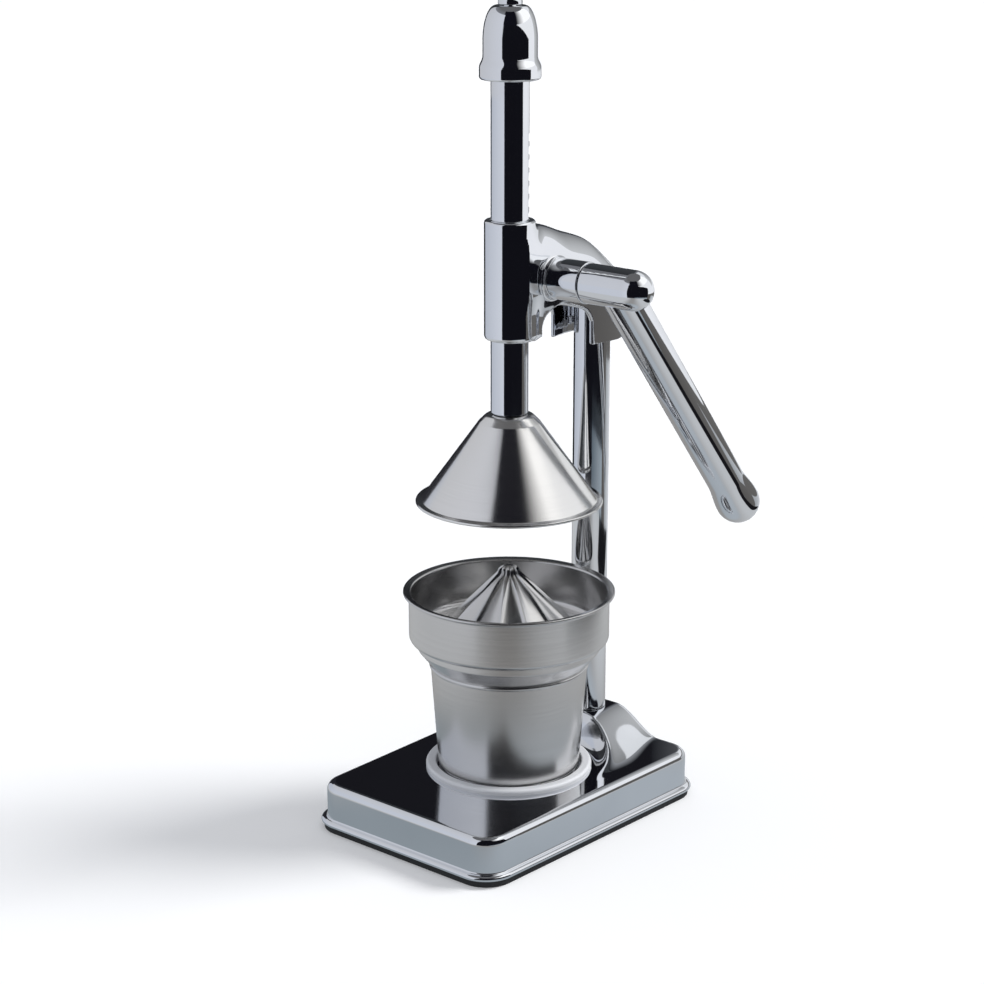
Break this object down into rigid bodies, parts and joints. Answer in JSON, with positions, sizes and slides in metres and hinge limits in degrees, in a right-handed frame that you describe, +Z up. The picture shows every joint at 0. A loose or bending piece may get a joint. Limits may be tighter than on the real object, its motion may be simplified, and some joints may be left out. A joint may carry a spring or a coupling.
{
  "type": "lever citrus juice press",
  "caption": "Chromed stand with a rack and pinion ram, side lever, press cone, and a steel cup with strainer and reamer for halved citrus fruit.",
  "frame": {"origin": "on the surface that the press stands on, under the ram's axis and the cup's centre", "axes": "+Z up along the ram, +Y from the ram towards the column at the rear, +X to the side that the lever is on"},
  "size_m": [0.1326, 0.2202, 0.412],
  "materials": {
    "chrome": "polished chrome plate",
    "satin_steel": "fine turned satin",
    "steel": "plain machined",
    "pale_ring": "satin",
    "black_pad": "matt black"
  },
  "bodies": {
    "stand": {"base_shell": "chrome", "base_pad": "black_pad", "pad_screw_1": "steel", "pad_screw_2": "steel", "pad_screw_3": "steel", "pad_screw_4": "steel", "cup_ring": "pale_ring", "column_tube": "chrome", "tie_rod": "steel", "tie_washer": "steel", "tie_nut": "steel", "head_casting": "chrome", "bearing_collar": "chrome", "left_bush": "chrome"},
    "ram": {"ram_rack": "chrome", "bell_cap": "chrome", "cap_nut": "chrome", "press_cone": "satin_steel", "cone_washer": "steel", "cone_screw": "steel"},
    "lever": {"pinion_gear": "steel", "pinion_shaft": "steel", "gear_key": "steel", "end_washer": "chrome", "end_screw": "chrome", "lever_hub": "chrome", "lever_arm": "chrome", "hub_set_screw": "steel"},
    "cup": {"tumbler": "satin_steel"},
    "strainer": {"strainer_bowl": "satin_steel", "reamer": "satin_steel", "reamer_washer": "steel", "reamer_screw": "steel"}
  },
  "joints": [
    {"name": "lever_turn", "type": "hinge", "parent": "stand", "child": "lever", "pos_m": [0, 0.02, 0.2743], "axis": [1, 0, 0], "range_deg": [0, 254]},
    {"name": "ram_slide", "type": "slide", "parent": "stand", "child": "ram", "axis": [0, 0, -1], "range_m": [0, 0.0621]},
    {"name": "cup_lift", "type": "slide", "parent": "stand", "child": "cup", "axis": [0, 0, 1], "range_m": [0, 0.0039]},
    {"name": "bowl_turn", "type": "hinge", "parent": "cup", "child": "strainer", "pos_m": [0, 0, 0.1], "axis": [0, 0, 1], "continuous": true}
  ],
  "couplings": [
    {"joint": "ram_slide", "follows": "lever_turn", "m_per_rad": 0.014}
  ]
}
